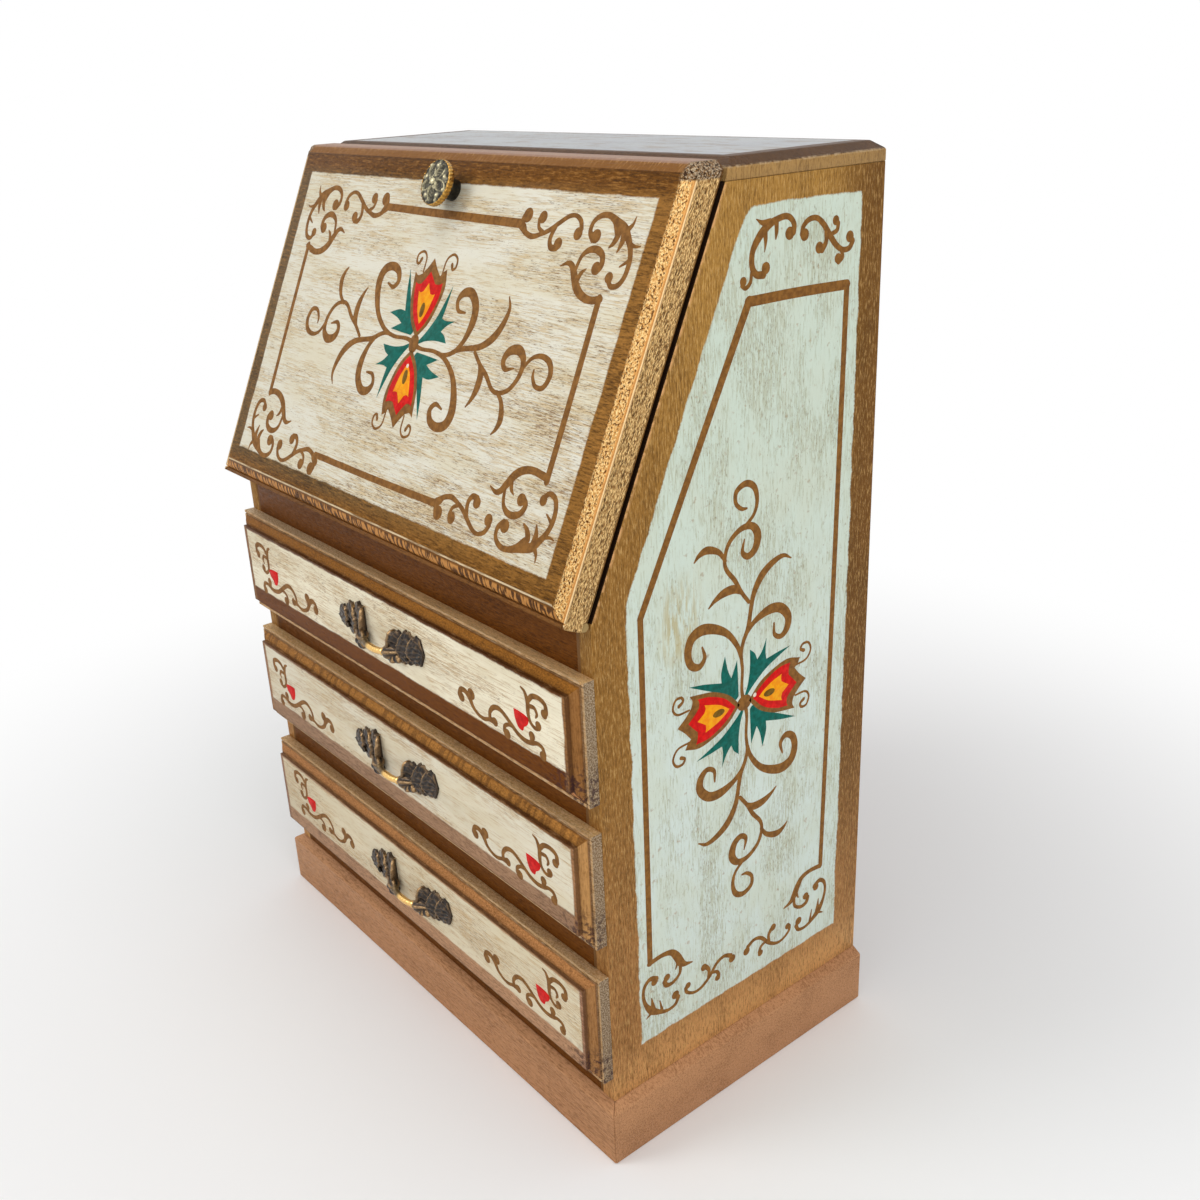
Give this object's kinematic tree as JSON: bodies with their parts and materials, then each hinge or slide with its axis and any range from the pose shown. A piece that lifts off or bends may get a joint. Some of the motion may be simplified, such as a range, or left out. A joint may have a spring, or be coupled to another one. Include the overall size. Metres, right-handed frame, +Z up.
{
  "type": "musical jewelry box",
  "caption": "Musical keepsake box shaped like a slant-front desk: a drop-front lid over a lined tray, full-width drawers with cast pulls, and a wind-up music movement.",
  "frame": {"origin": "centre of the bounding box's footprint, on the surface that the plinth stands on", "axes": "+Z up; -Y the front with lid, drawers and pulls; +X the right-hand side seen from the front"},
  "size_m": [0.1652, 0.1138, 0.2308],
  "materials": {
    "painted_case": "hand-painted, worn",
    "painted_panel": "hand-painted, worn",
    "plinth_wood": "painted, worn",
    "inner_wood": "plain, matt",
    "cast_brass": "antiqued, raised parts polished",
    "polished_brass": "polished",
    "steel": "plain",
    "flocked_lining": "flocked, matt",
    "flocked_tray": "flocked",
    "mirror_glass": "silvered"
  },
  "bodies": {
    "case": {"side_panel_left": "painted_panel", "side_panel_right": "painted_panel", "back_panel": "inner_wood", "top_board": "painted_panel", "fascia_rail": "painted_case", "upper_rail": "painted_case", "middle_rail": "painted_case", "bottom_rail": "painted_case", "upper_shelf": "inner_wood", "middle_shelf": "inner_wood", "bottom_board": "inner_wood", "desk_floor": "inner_wood", "plinth_front": "plinth_wood", "plinth_left": "plinth_wood", "plinth_right": "plinth_wood", "hinge_case_leaf": "polished_brass", "hinge_pin": "steel", "hinge_case_nails": "polished_brass", "desk_tray": "flocked_tray", "ring_rolls": "flocked_lining", "mirror": "mirror_glass", "movement_cover": "flocked_tray", "movement_bedplate": "steel", "movement_comb": "steel", "movement_screws": "steel", "governor_frame": "polished_brass", "stop_rod_eyes": "polished_brass"},
    "lid": {"lid_panel": "painted_panel", "lid_lining": "flocked_lining", "lid_knob": "cast_brass", "lid_knob_screw": "steel", "hinge_lid_leaf": "polished_brass", "hinge_lid_nails": "polished_brass"},
    "drawer_1": {"drawer_1_front": "painted_panel", "drawer_1_sides": "inner_wood", "drawer_1_back": "inner_wood", "drawer_1_bottom": "inner_wood", "drawer_1_lining": "flocked_lining", "drawer_1_pull": "cast_brass", "drawer_1_pull_nails": "cast_brass"},
    "drawer_2": {"drawer_2_front": "painted_panel", "drawer_2_sides": "inner_wood", "drawer_2_back": "inner_wood", "drawer_2_bottom": "inner_wood", "drawer_2_lining": "flocked_lining", "drawer_2_pull": "cast_brass", "drawer_2_pull_nails": "cast_brass"},
    "drawer_3": {"drawer_3_front": "painted_panel", "drawer_3_sides": "inner_wood", "drawer_3_back": "inner_wood", "drawer_3_bottom": "inner_wood", "drawer_3_lining": "flocked_lining", "drawer_3_pull": "cast_brass", "drawer_3_pull_nails": "cast_brass"},
    "barrel": {"spring_barrel": "polished_brass"},
    "cylinder": {"music_cylinder": "polished_brass"},
    "governor": {"governor_fly": "polished_brass"},
    "key": {"winding_arbor": "steel", "winding_key": "polished_brass"},
    "stop": {"stop_rod": "steel"}
  },
  "joints": [
    {"name": "lid_hinge", "type": "hinge", "parent": "case", "child": "lid", "pos_m": [0, -0.04884, 0.14285], "axis": [1, 0, 0], "range_deg": [0, 115]},
    {"name": "drawer_1_slide", "type": "slide", "parent": "case", "child": "drawer_1", "axis": [0, -1, 0], "range_m": [0, 0.062]},
    {"name": "drawer_2_slide", "type": "slide", "parent": "case", "child": "drawer_2", "axis": [0, -1, 0], "range_m": [0, 0.062]},
    {"name": "drawer_3_slide", "type": "slide", "parent": "case", "child": "drawer_3", "axis": [0, -1, 0], "range_m": [0, 0.062]},
    {"name": "barrel_turn", "type": "hinge", "parent": "case", "child": "barrel", "pos_m": [0.0354, 0.0302, 0.1646], "axis": [0, 1, 0], "continuous": true},
    {"name": "cylinder_turn", "type": "hinge", "parent": "case", "child": "cylinder", "pos_m": [0.055, 0.01875, 0.1646], "axis": [1, 0, 0], "continuous": true},
    {"name": "governor_turn", "type": "hinge", "parent": "case", "child": "governor", "pos_m": [0.068, 0.02449, 0.15886], "axis": [1, 0, 0], "continuous": true},
    {"name": "key_turn", "type": "hinge", "parent": "case", "child": "key", "pos_m": [0.0354, 0.0402, 0.1646], "axis": [0, 1, 0], "continuous": true},
    {"name": "stop_slide", "type": "slide", "parent": "case", "child": "stop", "axis": [0, -1, 0], "range_m": [0, 0.003]}
  ],
  "couplings": [
    {"joint": "cylinder_turn", "follows": "barrel_turn", "ratio": -2},
    {"joint": "governor_turn", "follows": "barrel_turn", "ratio": 6},
    {"joint": "stop_slide", "follows": "lid_hinge", "m_per_rad": 0.001494}
  ]
}
